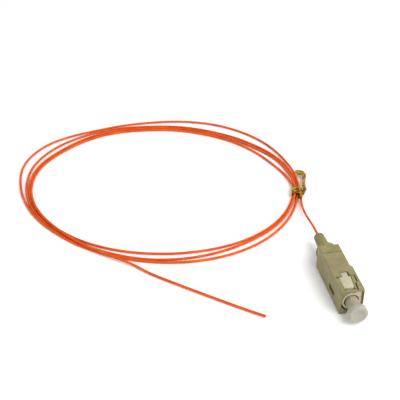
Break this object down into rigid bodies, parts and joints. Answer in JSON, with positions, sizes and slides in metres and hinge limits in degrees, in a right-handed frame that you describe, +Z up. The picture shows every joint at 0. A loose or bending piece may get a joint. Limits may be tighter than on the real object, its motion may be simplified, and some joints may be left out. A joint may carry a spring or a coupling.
{
  "type": "fibre optic pigtail",
  "caption": "Fibre pigtail: a square push-pull plug with key, dust cap and strain relief boot on a tied coil of thin buffered fibre with a bare cut end.",
  "frame": {"origin": "on the floor, under the middle of the grip housing", "axes": "+Z up; the ferrule axis runs along Y with the mating end towards -Y; the key is on +X"},
  "size_m": [0.1151, 0.1474, 0.009],
  "materials": {
    "beige_housing": "moulded, satin",
    "cream_frame": "moulded, satin",
    "zirconia": "ground and polished",
    "nickel_flange": "nickel plated",
    "spring_steel": "drawn wire",
    "beige_boot": "soft, satin",
    "clear_cap": "milky, translucent",
    "orange_buffer": "extruded, satin",
    "gold_tie": "metallised, crinkled"
  },
  "bodies": {
    "plug_body": {"plug_frame": "cream_frame", "rear_body": "beige_housing", "boot": "beige_boot", "fibre_lead": "orange_buffer", "fibre_coil": "orange_buffer", "fibre_tail": "orange_buffer", "twist_tie": "gold_tie"},
    "grip": {"grip_housing": "beige_housing"},
    "ferrule_unit": {"ferrule": "zirconia", "ferrule_flange": "nickel_flange", "ferrule_spring": "spring_steel"},
    "cap": {"dust_cap": "clear_cap"}
  },
  "joints": [
    {"name": "grip_pull", "type": "slide", "parent": "plug_body", "child": "grip", "axis": [0, 1, 0], "range_m": [0, 0.001]},
    {"name": "ferrule_float", "type": "slide", "parent": "plug_body", "child": "ferrule_unit", "axis": [0, 1, 0], "range_m": [0, 0.001], "stiffness_N_per_m": 1500, "springref_m": -0.003},
    {"name": "cap_pull", "type": "slide", "parent": "ferrule_unit", "child": "cap", "axis": [0, -1, 0], "range_m": [0, 0.009]}
  ]
}
